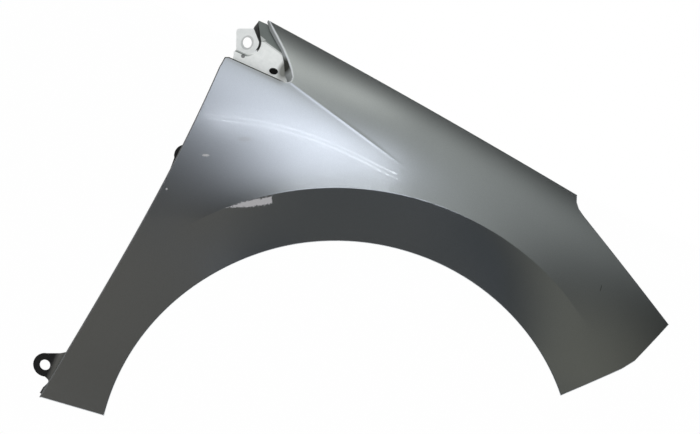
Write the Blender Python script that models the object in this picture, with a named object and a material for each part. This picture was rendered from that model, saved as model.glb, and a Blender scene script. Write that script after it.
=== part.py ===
"""Front fender of a passenger car, right-hand side: a steel pressing with three welded brackets.

All lengths are in metres. While it is shaped, the wheel centre is the zero point, +X is
forward, +Z is up and +Y is inboard, so the painted face looks towards -Y. The finished
pieces then move together, so that the origin lies on the back of the pillar bracket's pad,
beside its bolt slot, where the fender is bolted to the body.
"""

import bpy
import bmesh
from math import atan2, cos, exp, hypot, pi, radians, sin, sqrt
from mathutils import Matrix, Vector
from mathutils.geometry import delaunay_2d_cdt

for old in list(bpy.data.objects):
    bpy.data.objects.remove(old, do_unlink=True)

# Driving dimensions: the outline, seen square from the side of the car
ARCH_RADIUS = 0.3555
ARCH_FRONT_ANGLE = radians(43.8)
ARCH_REAR_ANGLE = radians(188.6)
FLARE_WIDTH = 0.0775
KINK_AHEAD = 0.3425
KINK_HEIGHT = 0.3325
TIP_AHEAD = 0.3712
TIP_HEIGHT = 0.4003
HOOD_FRONT_AHEAD = 0.1612
HOOD_FRONT_HEIGHT = 0.5233
HOOD_REAR_BEHIND = 0.3605
HOOD_BOW = 0.0033
HEADLAMP_TURN = 0.0185
HEADLAMP_TURN_DROP = 0.0138
LEDGE_HEIGHT = 0.5015
RECESS_HEIGHT = 0.0716
LEDGE_END_BEHIND = 0.3045
RECESS_CORNER_RADIUS = 0.0100
DOOR_CORNER_RADIUS = 0.0060
RIM_PULL = 0.0224
DOOR_TOP_BEHIND = 0.3980
DOOR_BOTTOM_BEHIND = 0.4465
DOOR_BOTTOM_DROP = 0.0683

# Driving dimensions: the crown of the skin, its sweep in plan, the flare and the crease
BELT_HEIGHT = 0.250
UPPER_CROWN_RADIUS = 1.00
LOWER_CROWN_RADIUS = 2.00
SWEEP_START_BEHIND = 0.050
FRONT_SWEEP_RADIUS = 0.90
REAR_SWEEP_RADIUS = 4.00
HOOD_ROLL_DEPTH = 0.045
HOOD_ROLL_REACH = 0.035
FLARE_STAND = 0.012
FLARE_REACH = 0.110
FLARE_EDGE_BLEND = 0.003
FLARE_FRONT_START = radians(50)
FLARE_FRONT_FULL = radians(90)
FLARE_REAR_FULL = radians(120)
FLARE_REAR_END = radians(148)
BAND_TUCK_SHARE = 0.30
CREASE_SLOPE_SHARE = 0.2223
CREASE_FOLD_SHARE = 0.18
CREASE_LENGTH = 0.200
CREASE_BLEND = 0.004

# Driving dimensions: sheet, bends, flanges and running gaps
SHEET = 0.0009
BEND = 0.0020
GAP = 0.0003
RAW_EDGE_GAP = 0.0018
RAW_EDGE = 0.0015
SAME_POINT = 1e-7
ARCH_LIP = 0.020
BOTTOM_LIP = 0.018
DOOR_LIP = 0.012
HEADLAMP_LIP = 0.012
BUMPER_LIP = 0.014
GUTTER_DEPTH = 0.014
HOOD_LEDGE = 0.028
WELD_FOOT = 0.010
FOOT_RUN = 0.025
GUTTER_LEAN = radians(10)
ARCH_LIP_LEAN = radians(6)
LEDGE_LEAN = radians(5)
RIM_LEAN = radians(33)
CORNER_LIP_SHARE = 0.30
CORNER_CUT = 0.0090
HOOD_BOLT_DIAMETER = 0.0090
SILL_BOLT_DIAMETER = 0.0090
CLIP_DIAMETER = 0.0070
LINER_CLIP_SHARES = (0.25, 0.5, 0.75)
HOOD_BOLT_SHARES = (0.06, 0.36, 0.66, 0.95)
BUMPER_CLIP_SHARES = (0.5,)
HEADLAMP_CLIP_SHARES = (0.5,)
SILL_BOLT_SHARES = (0.4,)

# Driving dimensions: the three brackets
BRACKET_SHEET = 0.0014
RECESS_DEPTH = 0.0175
PAD_BEHIND = 0.3790
PAD_RISE = 0.0313
PAD_RADIUS = 0.0180
PAD_HALF_WIDTH = 0.0150
PAD_TOP = 0.0192
PAD_FRONT_SHARE = 0.386
PAD_SLANT_SHARE = 0.445
PAD_TURN = radians(24)
PAD_STAND = 0.0042
PAD_BOLT_WIDTH = 0.0130
PAD_BOLT_LENGTH = 0.0155
PAD_BOLT_AHEAD = 0.0010
PAD_BOLT_DROP = 0.0012
RING_BEHIND = 0.4596
RING_DROP = 0.0223
RING_RADIUS = 0.0178
RING_BOLT_DIAMETER = 0.0160
LOWER_STEP = 0.0045
EAR_BEHIND = 0.3930
EAR_HEIGHT = 0.3470
EAR_RADIUS = 0.0160
EAR_BOLT_DIAMETER = 0.0090


# Small sums that every piece uses

def soft_ramp(value, blend):
    """Nothing below zero and the value above it, with a smooth bend of size blend between."""
    return (value + sqrt(value * value + blend * blend)) / 2


def smooth(share):
    """From 0 to 1 with level ends."""
    held = min(1, max(0, share))
    return held * held * (3 - 2 * held)


def mix(first, second, share):
    return first * (1 - share) + second * share


def bezier(points, share):
    """A point on the Bezier curve of any number of control points."""
    row = list(points)
    while len(row) > 1:
        row = [mix(a, b, share) for a, b in zip(row, row[1:])]
    return row[0]


def polar(radius, angle):
    return Vector((radius * cos(angle), radius * sin(angle)))


def bearing(point):
    """Angle of a point about the wheel centre, from straight ahead up and over to the rear."""
    return atan2(point.y, point.x) % (2 * pi)


# The outline, as points (ahead of the wheel centre, above it)
KINK = Vector((KINK_AHEAD, KINK_HEIGHT))
TIP = Vector((TIP_AHEAD, TIP_HEIGHT))
HOOD_FRONT = Vector((HOOD_FRONT_AHEAD, HOOD_FRONT_HEIGHT))
HOOD_REAR = Vector((-HOOD_REAR_BEHIND, LEDGE_HEIGHT + RECESS_HEIGHT))
DOOR_TOP = Vector((-DOOR_TOP_BEHIND, LEDGE_HEIGHT))
DOOR_BOTTOM = Vector((-DOOR_BOTTOM_BEHIND, -DOOR_BOTTOM_DROP))
DOOR_CORNER = DOOR_TOP + Vector((DOOR_CORNER_RADIUS, -DOOR_CORNER_RADIUS)) * (1 - sqrt(1 / 2))
RECESS_CENTRE = Vector((-LEDGE_END_BEHIND, LEDGE_HEIGHT + RECESS_CORNER_RADIUS))
RECESS_SEAM_ANGLE = radians(-30)
RECESS_SEAM = RECESS_CENTRE + polar(RECESS_CORNER_RADIUS, RECESS_SEAM_ANGLE)


def hood_height(ahead):
    """Height of the edge beside the hood, which runs straight on past both of its ends."""
    share = (ahead - HOOD_REAR.x) / (HOOD_FRONT.x - HOOD_REAR.x)
    return mix(HOOD_REAR.y, HOOD_FRONT.y, share) + HOOD_BOW * 4 * share * (1 - share)


def hood_edge(share):
    """From the front corner back to the recess."""
    ahead = mix(HOOD_FRONT.x, HOOD_REAR.x, share)
    return Vector((ahead, hood_height(ahead)))


def headlamp_edge(share):
    """Straight up from the tip, then turning into the front corner of the hood edge."""
    straight_share = 0.8
    pull = HOOD_FRONT - Vector((0, HEADLAMP_TURN_DROP))
    start = pull + (TIP - pull).normalized() * HEADLAMP_TURN
    if share < straight_share:
        return mix(TIP, start, share / straight_share)
    return bezier((start, pull, HOOD_FRONT), (share - straight_share) / (1 - straight_share))


def bumper_edge(share):
    """The short steep stretch from the kink up to the tip."""
    return mix(KINK, TIP, share)


def door_edge(share):
    """From the recess down to the foot: nearly upright above, leaning back below."""
    height = DOOR_TOP.y - DOOR_BOTTOM.y
    top_lean_share = 0.007
    foot_lean_share = 0.043
    upper_pull = DOOR_TOP + Vector((height * top_lean_share, -height / 3))
    lower_pull = DOOR_BOTTOM + Vector((height * foot_lean_share, height / 3))
    if share == 0:
        return DOOR_CORNER
    return bezier((DOOR_TOP, upper_pull, lower_pull, DOOR_BOTTOM), share)


def ledge_edge(share):
    """From the round corner of the recess back to the door edge."""
    arc_share = 0.25
    if share < arc_share:
        angle = mix(RECESS_SEAM_ANGLE, radians(-90), share / arc_share)
        return RECESS_CENTRE + polar(RECESS_CORNER_RADIUS, angle)
    start = RECESS_CENTRE + polar(RECESS_CORNER_RADIUS, radians(-90))
    end = DOOR_TOP + Vector((DOOR_CORNER_RADIUS, 0))
    straight_share = 0.9
    if share > straight_share:
        return mix(end, DOOR_CORNER, (share - straight_share) / (1 - straight_share))
    return mix(start, end, (share - arc_share) / (straight_share - arc_share))


def rim_edge(share):
    """From the same corner up the curved rim to the rear end of the hood edge."""
    arc_share = 0.20
    end_angle = radians(30)
    if share < arc_share:
        angle = mix(RECESS_SEAM_ANGLE, end_angle, share / arc_share)
        return RECESS_CENTRE + polar(RECESS_CORNER_RADIUS, angle)
    start = RECESS_CENTRE + polar(RECESS_CORNER_RADIUS, end_angle)
    pull = start + polar(RIM_PULL, end_angle + radians(90))
    return bezier((start, pull, HOOD_REAR), (share - arc_share) / (1 - arc_share))


# The painted skin, as a depth inboard of the widest line for each place in the side view

def crease_height(ahead):
    """The character line falls forward from the corner of the recess."""
    return RECESS_SEAM.y - CREASE_SLOPE_SHARE * (ahead - RECESS_SEAM.x)


def flare_strength(angle):
    """The flare fades out towards the bumper and down the rear leg."""
    front = smooth((angle - FLARE_FRONT_START) / (FLARE_FRONT_FULL - FLARE_FRONT_START))
    rear = smooth((FLARE_REAR_END - angle) / (FLARE_REAR_END - FLARE_REAR_FULL))
    return front * rear


def skin_depth(ahead, height):
    level = height * HOOD_FRONT_HEIGHT / hood_height(ahead)
    rise = level - BELT_HEIGHT
    crown = rise * rise / 2 / (UPPER_CROWN_RADIUS if rise > 0 else LOWER_CROWN_RADIUS)
    run = ahead + SWEEP_START_BEHIND
    sweep = run * run / 2 / (FRONT_SWEEP_RADIUS if run > 0 else REAR_SWEEP_RADIUS)
    roll = HOOD_ROLL_DEPTH * exp((height - hood_height(ahead)) / HOOD_ROLL_REACH)
    fold_strength = 1 - smooth((ahead - RECESS_SEAM.x) / CREASE_LENGTH)
    fold = CREASE_FOLD_SHARE * soft_ramp(height - crease_height(ahead), CREASE_BLEND)
    beyond = hypot(ahead, height) - ARCH_RADIUS - FLARE_WIDTH
    reached = max(0, 1 - soft_ramp(beyond, FLARE_EDGE_BLEND) / FLARE_REACH)
    flare = FLARE_STAND * reached ** 3 - BAND_TUCK_SHARE * soft_ramp(-beyond, FLARE_EDGE_BLEND)
    strength = flare_strength(bearing(Vector((ahead, height))))
    return crown + sweep + roll + fold * fold_strength - flare * strength


def on_surface(depth, point):
    """The place in space of a point of the side view, on any surface given as a depth."""
    return Vector((point.x, depth(point.x, point.y), point.y))


def slopes(depth, ahead, height):
    """How fast a surface falls inboard, forward and upward."""
    step = BEND
    forward = (depth(ahead + step, height) - depth(ahead - step, height)) / (2 * step)
    upward = (depth(ahead, height + step) - depth(ahead, height - step)) / (2 * step)
    return forward, upward


def inboard_normal(depth, place):
    forward, upward = slopes(depth, place.x, place.z)
    return Vector((-forward, 1, -upward)).normalized()


def tangent_plane(depth, ahead, height, behind):
    """A flat surface parallel to another one at one place, and a distance inboard of it."""
    forward, upward = slopes(depth, ahead, height)
    level = depth(ahead, height) + behind * sqrt(1 + forward * forward + upward * upward)
    return lambda x, z: level + forward * (x - ahead) + upward * (z - height)


def in_front_of(depth, distance):
    """The same surface, moved outboard by a distance that is measured square to it."""
    def moved(ahead, height):
        forward, upward = slopes(depth, ahead, height)
        return depth(ahead, height) - distance * sqrt(1 + forward * forward + upward * upward)
    return moved


def reach(start, direction, depth):
    """Where a straight wall from a bend comes down on a surface."""
    near = 0
    far = DOOR_LIP * 4
    for _ in range(40):
        middle = (near + far) / 2
        place = start + direction * middle
        if place.y < depth(place.x, place.z):
            near = middle
        else:
            far = middle
    return start + direction * near


# The faces of the three brackets, which the panel's flanges are folded to meet
FLOOR_LEAN_SHARE = 0.30
FLOOR_SECOND_SHARE = 0.14
FLOOR_UPPER_SHARE = 1.18
FLOOR_FOLD_BLEND = 0.002
SECOND_FOLD_RISE = 0.0182
UPPER_FOLD_RISE = 0.0438
UPPER_FOLD_SLOPE_SHARE = 0.21
PAD_WALL = 0.0032


def upper_fold_height(ahead):
    """The sharp fold across the bracket falls forward from the bolt pad."""
    return LEDGE_HEIGHT + UPPER_FOLD_RISE - UPPER_FOLD_SLOPE_SHARE * (ahead + HOOD_REAR_BEHIND)


def recess_floor(ahead, height):
    """The bracket's sloping floor: three facets, each leaning further inboard."""
    start = skin_depth(RECESS_CENTRE.x, LEDGE_HEIGHT) + RECESS_DEPTH
    lower = FLOOR_LEAN_SHARE * (height - LEDGE_HEIGHT)
    second = FLOOR_SECOND_SHARE * soft_ramp(height - LEDGE_HEIGHT - SECOND_FOLD_RISE, FLOOR_FOLD_BLEND)
    upper = FLOOR_UPPER_SHARE * soft_ramp(height - upper_fold_height(ahead), FLOOR_FOLD_BLEND)
    return start + lower + second + upper


PAD_CENTRE = Vector((-PAD_BEHIND, LEDGE_HEIGHT + PAD_RISE))
PAD_ALONG = polar(1, PAD_TURN)
PAD_UP = polar(1, PAD_TURN + radians(90))
PAD_DEPTH = recess_floor(PAD_CENTRE.x, PAD_CENTRE.y) - PAD_STAND


def pad_place(along, up):
    return PAD_CENTRE + PAD_ALONG * along + PAD_UP * up


DIMPLE_RADIUS = 0.0030
DIMPLE_DEPTH = 0.0006
DIMPLE_BEHIND = 0.0068
DIMPLE_CENTRE = pad_place(-DIMPLE_BEHIND, -PAD_RADIUS - PAD_WALL - 2 * GAP)


def down_wall(ahead, height):
    """How far down the wall round the pad: straight in front, round below, slanted behind."""
    offset = Vector((ahead, height)) - PAD_CENTRE
    along = offset.dot(PAD_ALONG)
    up = offset.dot(PAD_UP)
    if up > 0:
        return (along + PAD_FRONT_SHARE * up - PAD_RADIUS) / PAD_WALL / (1 + up / PAD_RADIUS)
    return (hypot(max(0, along), up) - PAD_RADIUS + PAD_SLANT_SHARE * max(0, -along)) / PAD_WALL


def pillar_bracket_face(ahead, height):
    """The floor with the upright bolt pad standing out of it, and a dimple below the pad."""
    step = smooth(down_wall(ahead, height))
    from_dimple = (Vector((ahead, height)) - DIMPLE_CENTRE).length / DIMPLE_RADIUS
    return mix(PAD_DEPTH, recess_floor(ahead, height), step) + DIMPLE_DEPTH * smooth(1 - from_dimple)


RING_CENTRE = Vector((-RING_BEHIND, -RING_DROP))
LOWER_FACE = tangent_plane(skin_depth, -DOOR_BOTTOM_BEHIND, -RING_DROP, LOWER_STEP + GAP)
LOWER_TOP_RISE = 0.0330
EAR_CENTRE = Vector((-EAR_BEHIND, EAR_HEIGHT))
EAR_NECK = 0.0600
EAR_FACE = tangent_plane(skin_depth, -EAR_BEHIND, EAR_HEIGHT - EAR_NECK / 2, DOOR_LIP + GAP)

HOLE_SIDES = 20

# The grid of the skin: rays out from the arch, rings from the arch to the outer edges
BUMPER_CELLS = 3
HEADLAMP_CELLS = 14
HOOD_CELLS = 20
LEDGE_CELLS = 10
DOOR_CELLS = 34
BAND_SHARES = (0, 0.33, 0.66, 0.92, 1)
MIDDLE_SHARES = (0.04, 0.14, 0.30, 0.50, 0.70, 0.88, 0.97, 1)
UPPER_SHARES = (0.04, 0.16, 0.34, 0.52, 0.68, 0.82, 0.93, 1)
RIM_RAY = BUMPER_CELLS + HEADLAMP_CELLS + HOOD_CELLS
LAST_RAY = RIM_RAY + LEDGE_CELLS + DOOR_CELLS
SEAM_RING = len(BAND_SHARES) + len(MIDDLE_SHARES) - 1
LAST_RING = SEAM_RING + len(UPPER_SHARES)


def rays():
    """For each ray its bearing at the arch and its point on the outer edge, front to rear."""
    stretches = (
        (bumper_edge, bearing(TIP), BUMPER_CELLS),
        (headlamp_edge, bearing(HOOD_FRONT), HEADLAMP_CELLS),
        (hood_edge, bearing(RECESS_SEAM), HOOD_CELLS),
        (ledge_edge, bearing(DOOR_TOP), LEDGE_CELLS),
        (door_edge, ARCH_REAR_ANGLE, DOOR_CELLS),
    )
    angle = ARCH_FRONT_ANGLE
    for edge, end_angle, cells in stretches:
        for step in range(cells):
            yield mix(angle, end_angle, step / cells), edge(step / cells)
        angle = end_angle
    yield ARCH_REAR_ANGLE, DOOR_BOTTOM


def seam_radius(angle, outer_radius):
    """The seam ring lies on the character line where there is one, and halfway out elsewhere."""
    line = RECESS_SEAM.y + CREASE_SLOPE_SHARE * RECESS_SEAM.x
    on_line = line / (sin(angle) + CREASE_SLOPE_SHARE * cos(angle))
    halfway = (ARCH_RADIUS + FLARE_WIDTH + outer_radius) / 2
    held_share = 0.8
    passed = polar(on_line, angle).x - RECESS_SEAM.x - CREASE_LENGTH * held_share
    leave = smooth(passed / CREASE_LENGTH)
    return mix(on_line, halfway, leave)


def ray_points(number, angle, outer):
    """The grid points of one ray in the side view, from the arch outwards."""
    inner = polar(ARCH_RADIUS, angle)
    seam = outer
    if number < RIM_RAY:
        seam = polar(seam_radius(angle, outer.length), angle)
    if number == RIM_RAY:
        seam = RECESS_SEAM
    room_share = 0.55
    room = seam.length - ARCH_RADIUS
    flare_radius = ARCH_RADIUS + min(FLARE_WIDTH, room * room_share)
    flare = mix(inner, seam, (flare_radius - ARCH_RADIUS) / room).normalized() * flare_radius
    points = [mix(inner, flare, share) for share in BAND_SHARES]
    points += [mix(flare, seam, share) for share in MIDDLE_SHARES]
    if number < RIM_RAY:
        points += [mix(seam, outer, share) for share in UPPER_SHARES]
    if number == RIM_RAY:
        points += [rim_edge(share) for share in UPPER_SHARES]
    return points


def edge_loop():
    """The grid keys once round the panel, with the name of the stretch that follows each key."""
    loop = [((ray, 0), "arch") for ray in range(LAST_RAY)]
    loop += [((LAST_RAY, ring), "bottom") for ring in range(SEAM_RING)]
    loop += [((ray, SEAM_RING), "door") for ray in range(LAST_RAY, RIM_RAY + LEDGE_CELLS, -1)]
    loop += [((ray, SEAM_RING), "recess") for ray in range(RIM_RAY + LEDGE_CELLS, RIM_RAY, -1)]
    loop += [((RIM_RAY, ring), "recess") for ring in range(SEAM_RING, LAST_RING)]
    loop += [((ray, LAST_RING), "hood") for ray in range(RIM_RAY, BUMPER_CELLS + HEADLAMP_CELLS, -1)]
    loop += [((ray, LAST_RING), "headlamp")
             for ray in range(BUMPER_CELLS + HEADLAMP_CELLS, BUMPER_CELLS, -1)]
    loop += [((ray, LAST_RING), "bumper") for ray in range(BUMPER_CELLS, 0, -1)]
    loop += [((0, ring), "bumper") for ring in range(LAST_RING, 0, -1)]
    return loop


# The flanges: from each bend the sheet runs to a corner, then on to its raw edge

def plain_lip(bend, direction, width):
    return bend + direction * (width - RAW_EDGE), bend + direction * width


def arch_flange(bend, normal, out):
    direction = (Vector((0, cos(ARCH_LIP_LEAN), 0)) - out * sin(ARCH_LIP_LEAN)).normalized()
    return plain_lip(bend, direction, ARCH_LIP)


def bottom_flange(bend, normal, out):
    return plain_lip(bend, Vector((0, 1, 0)), BOTTOM_LIP)


def headlamp_flange(bend, normal, out):
    return plain_lip(bend, normal, HEADLAMP_LIP)


def bumper_flange(bend, normal, out):
    return plain_lip(bend, normal, BUMPER_LIP)


def hood_flange(bend, normal, out):
    """Down into the gutter beside the hood, then inboard as a flat bolting ledge."""
    share = (bend.x - HOOD_REAR.x) / (HOOD_FRONT.x - HOOD_REAR.x)
    height = mix(HOOD_REAR.y, HOOD_FRONT.y, share) - GUTTER_DEPTH
    direction = Vector((0, sin(GUTTER_LEAN), -cos(GUTTER_LEAN)))
    corner = bend + direction * (bend.z - height) / cos(GUTTER_LEAN)
    return corner, corner + Vector((0, HOOD_LEDGE, 0))


def stop_above(bend, direction, face):
    """A wall whose raw edge ends just short of a bracket's face."""
    end = reach(bend, direction, in_front_of(face, RAW_EDGE_GAP))
    return end - direction * RAW_EDGE, end


def foot_on(bend, direction, back, face, weight):
    """A wall that comes down on a bracket's face, with a weld foot folded back along it."""
    front = in_front_of(face, GAP)
    corner = reach(bend, direction, front)
    toe = corner + back * mix(2 * RAW_EDGE, WELD_FOOT, weight)
    toe.y = front(toe.x, toe.z)
    return corner, toe


def mix_ends(first, second, share):
    """The corner and the raw edge of one flange shape passing into another."""
    return mix(first[0], second[0], share), mix(first[1], second[1], share)


def door_flange(bend, normal, out):
    """A plain lip, folded to feet where the two rear brackets are welded on."""
    back = Vector((-out.x, 0, -out.z)).normalized()
    lip = plain_lip(bend, normal, DOOR_LIP)
    drop = EAR_HEIGHT - bend.z
    beyond_ear = max(-EAR_RADIUS - drop, drop - EAR_NECK - EAR_RADIUS)
    beyond_lower = bend.z + RING_DROP - LOWER_TOP_RISE
    if beyond_ear < FOOT_RUN:
        face, beyond = EAR_FACE, beyond_ear
        welded = smooth((drop - EAR_RADIUS) / WELD_FOOT) * smooth(-beyond / WELD_FOOT)
    else:
        face, beyond = LOWER_FACE, beyond_lower
        welded = smooth(-beyond / WELD_FOOT) * smooth((bend.z - DOOR_BOTTOM.y) / WELD_FOOT)
    if beyond > FOOT_RUN:
        return lip
    apart = smooth((beyond - WELD_FOOT) / (FOOT_RUN - WELD_FOOT))
    return mix_ends(foot_on(bend, normal, back, face, welded), lip, apart)


def recess_flange(bend, normal, out):
    """A wall down to the pillar bracket: upright with a foot under the ledge, leaning at the rim."""
    rise = smooth((bend.z - LEDGE_HEIGHT - BEND) / (2 * RECESS_CORNER_RADIUS))
    lean = mix(LEDGE_LEAN, RIM_LEAN, rise)
    direction = (normal * cos(lean) + out * sin(lean)).normalized()
    from_corner = smooth((RECESS_CENTRE.x - bend.x) / WELD_FOOT - 1)
    from_door = smooth((bend.x - DOOR_TOP.x) / WELD_FOOT - 1)
    foot = foot_on(bend, direction, Vector((0, 0, -1)), recess_floor, from_corner * from_door)
    raw = stop_above(bend, direction, recess_floor)
    folded = smooth((RECESS_CENTRE.x - bend.x) / WELD_FOOT) * (1 - rise)
    return mix_ends(raw, foot, folded)


FLANGES = {
    "arch": arch_flange, "bottom": bottom_flange, "door": door_flange, "recess": recess_flange,
    "hood": hood_flange, "headlamp": headlamp_flange, "bumper": bumper_flange,
}


def flange_rings(edge, bend, corner, end):
    """The six points of the flange at one place, with both of its bends rounded."""
    wall = corner - bend
    foot = end - corner
    wall_share = 0.45
    foot_share = 0.9
    first = min(BEND, wall.length * wall_share)
    second = min(BEND, foot.length * foot_share, wall.length * wall_share)
    wall_start = bend + wall.normalized() * first
    wall_end = corner - wall.normalized() * second
    foot_start = corner + foot.normalized() * second
    return (bezier((edge, bend, wall_start), 0.5), wall_start,
            wall_end, bezier((wall_end, corner, foot_start), 0.5), foot_start, end)


def add_flanges(mesh, grid):
    """Fold the flange once round the panel, mitred and cut back at the corners."""
    loop = edge_loop()
    count = len(loop)
    places = [grid[key].co.copy() for key, _ in loop]
    normals = [inboard_normal(skin_depth, place) for place in places]
    ends = [places[index] for index in range(count) if loop[index][1] != loop[index - 1][1]]
    edge_outs = []
    for index in range(count):
        along = places[(index + 1) % count] - places[index]
        edge_outs.append(along.cross(normals[index]).normalized())
    columns = []
    for index, (key, stretch) in enumerate(loop):
        before = edge_outs[index - 1]
        after = edge_outs[index]
        mitre = (before + after) / (1 + before.dot(after))
        bend = places[index] + mitre * BEND
        normal = normals[index]
        corner, end = FLANGES[stretch](bend, normal, after)
        last_stretch = loop[index - 1][1]
        if last_stretch != stretch:
            other_end = FLANGES[last_stretch](bend, normal, before)[1]
            end = (end + other_end) / 2
            corner = end - (end - bend).normalized() * RAW_EDGE
        from_end = min((places[index] - place).length for place in ends)
        kept = mix(CORNER_LIP_SHARE, 1, smooth(from_end / CORNER_CUT))
        rings = flange_rings(places[index], bend, mix(bend, corner, kept), mix(bend, end, kept))
        columns.append([grid[key]] + [mesh.verts.new(point) for point in rings])
    for index in range(count):
        this, following = columns[index], columns[(index + 1) % count]
        for ring in range(len(this) - 1):
            mesh.faces.new((this[ring], following[ring], following[ring + 1], this[ring + 1]))
    return {stretch: [column for column, (_, name) in zip(columns, loop) if name == stretch]
            for stretch in FLANGES}


# Bolt and clip holes in the flanges: which stretch, whether in its foot, how far along, how wide
FLANGE_HOLES = (
    ("arch", False, LINER_CLIP_SHARES, CLIP_DIAMETER),
    ("bottom", False, SILL_BOLT_SHARES, SILL_BOLT_DIAMETER),
    ("hood", True, HOOD_BOLT_SHARES, HOOD_BOLT_DIAMETER),
    ("headlamp", False, HEADLAMP_CLIP_SHARES, CLIP_DIAMETER),
    ("bumper", False, BUMPER_CLIP_SHARES, CLIP_DIAMETER),
)


def make_drill(columns):
    """One hidden cutter with a short pin through the flange at each hole."""
    mesh = bmesh.new()
    for stretch, in_foot, shares, diameter in FLANGE_HOLES:
        first_ring = 5 if in_foot else 2
        for share in shares:
            place = share * (len(columns[stretch]) - 1)
            index = int(place)
            here, following = [
                (column[first_ring].co.copy(), column[first_ring + 1].co.copy())
                for column in columns[stretch][index:index + 2]
            ]
            start, end = mix_ends(here, following, place - index)
            along = following[0] - here[0]
            axis = along.cross(end - start).to_track_quat("Z", "Y").to_matrix().to_4x4()
            pin = Matrix.Translation((start + end) / 2) @ axis
            bmesh.ops.create_cone(mesh, cap_ends=True, segments=HOLE_SIDES, radius1=diameter / 2,
                                  radius2=diameter / 2, depth=GUTTER_DEPTH, matrix=pin)
    drill = make_object("flange_drill", mesh, None)
    drill.hide_render = True
    drill.display_type = "WIRE"
    return drill


# Materials, objects and cutters

def make_material(name, colour, metallic, roughness):
    material = bpy.data.materials.new(name)
    material.use_nodes = True
    shader = material.node_tree.nodes["Principled BSDF"]
    shader.inputs["Base Color"].default_value = (*colour, 1)
    shader.inputs["Metallic"].default_value = metallic
    shader.inputs["Roughness"].default_value = roughness
    material.diffuse_color = (*colour, 1)
    return material


SILVER_PAINT = make_material("silver_paint", (0.56, 0.58, 0.60), 0.85, 0.35)
BLACK_PRIMER = make_material("black_primer", (0.015, 0.015, 0.016), 0.0, 0.55)
BLACK_RUBBER = make_material("black_rubber", (0.010, 0.010, 0.010), 0.0, 0.80)

WHEEL_CENTRE = bpy.data.objects.new("wheel_centre", None)
bpy.context.scene.collection.objects.link(WHEEL_CENTRE)


def make_object(name, mesh, material):
    data = bpy.data.meshes.new(name)
    mesh.to_mesh(data)
    mesh.free()
    item = bpy.data.objects.new(name, data)
    bpy.context.scene.collection.objects.link(item)
    item.parent = WHEEL_CENTRE
    if material:
        data.materials.append(material)
        data.shade_smooth()
        data.set_sharp_from_angle(angle=radians(30))
    return item


def thicken(item, sheet):
    """Give the sheet its thickness on the inboard side, with the shaped face kept."""
    solid = item.modifiers.new("sheet", "SOLIDIFY")
    solid.thickness = sheet
    solid.offset = -1
    solid.use_even_offset = True


def face_outboard(mesh):
    """All faces turned alike, with the painted side towards -Y."""
    bmesh.ops.recalc_face_normals(mesh, faces=mesh.faces)
    if sum(face.normal.y * face.calc_area() for face in mesh.faces) > 0:
        bmesh.ops.reverse_faces(mesh, faces=mesh.faces)


# The panel

def make_panel():
    mesh = bmesh.new()
    grid = {}
    for number, (angle, outer) in enumerate(rays()):
        for ring, point in enumerate(ray_points(number, angle, outer)):
            grid[number, ring] = mesh.verts.new(on_surface(skin_depth, point))
    for number in range(LAST_RAY):
        rings = LAST_RING if number < RIM_RAY else SEAM_RING
        for ring in range(rings):
            corners = ((number, ring), (number, ring + 1), (number + 1, ring + 1), (number + 1, ring))
            mesh.faces.new([grid[corner] for corner in corners])
    drill = make_drill(add_flanges(mesh, grid))
    face_outboard(mesh)
    bmesh.ops.triangulate(mesh, faces=mesh.faces)
    panel = make_object("fender_panel", mesh, SILVER_PAINT)
    thicken(panel, SHEET)
    holes = panel.modifiers.new("holes", "BOOLEAN")
    holes.operation = "DIFFERENCE"
    holes.solver = "EXACT"
    holes.object = drill


# The brackets, each a flat blank that is pierced, folded and thickened

def arc(centre, radius, start, end, steps):
    """Points along an arc, both ends included."""
    return [centre + polar(radius, mix(start, end, step / steps)) for step in range(steps + 1)]


def ring_of(centre, radius, steps):
    return arc(centre, radius, 0, 2 * pi, steps)[:-1]


def is_inside(point, loop):
    """True where a point of the side view lies inside a closed outline."""
    inside = False
    for a, b in zip(loop, loop[1:] + loop[:1]):
        if (a.y > point.y) != (b.y > point.y):
            if point.x < a.x + (point.y - a.y) / (b.y - a.y) * (b.x - a.x):
                inside = not inside
    return inside


def make_plate(name, outline, holes, folds, face, material):
    """A blank cut to its outline and pierced, with a line of points along each fold."""
    points = []
    edges = []
    for line, closed in [(outline, True)] + [(hole, True) for hole in holes] + [(fold, False) for fold in folds]:
        first = len(points)
        points += line
        edges += [(first + step, first + step + 1) for step in range(len(line) - 1)]
        if closed:
            edges.append((len(points) - 1, first))
    flat, _, triangles, *_ = delaunay_2d_cdt(points, edges, [], 1, SAME_POINT)
    mesh = bmesh.new()
    corners = [mesh.verts.new(on_surface(face, point)) for point in flat]
    for triangle in triangles:
        middle = sum((flat[corner] for corner in triangle), Vector((0, 0))) / 3
        if is_inside(middle, outline) and not any(is_inside(middle, hole) for hole in holes):
            mesh.faces.new([corners[corner] for corner in triangle])
    loose = [corner for corner in mesh.verts if not corner.link_faces]
    bmesh.ops.delete(mesh, geom=loose, context="VERTS")
    face_outboard(mesh)
    plate = make_object(name, mesh, material)
    thicken(plate, BRACKET_SHEET)
    return plate


RIM_LAP = 0.0060
BRACKET_DROP = 0.0115
PEAK_RISE = 0.0660
PEAK_AHEAD = 0.0020
STRIP_STEP = 0.0036
OVAL_AHEAD = 0.0532
OVAL_RISE = 0.0082
OVAL_LENGTH = 0.0110
OVAL_WIDTH = 0.0075
OVAL_TURN = radians(10)
OVAL_CENTRE = Vector((PAD_CENTRE.x + OVAL_AHEAD, LEDGE_HEIGHT + OVAL_RISE))
PLUG_LAP = 0.0010
PLUG_LIP = 0.0008


def oval(centre, along, across, turn, steps):
    """A closed oval, long along its own turned axis."""
    loop = []
    for step in range(steps):
        angle = 2 * pi * step / steps
        offset = Vector((along / 2 * cos(angle), across / 2 * sin(angle)))
        loop.append(centre + Matrix.Rotation(turn, 2) @ offset)
    return loop


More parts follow.
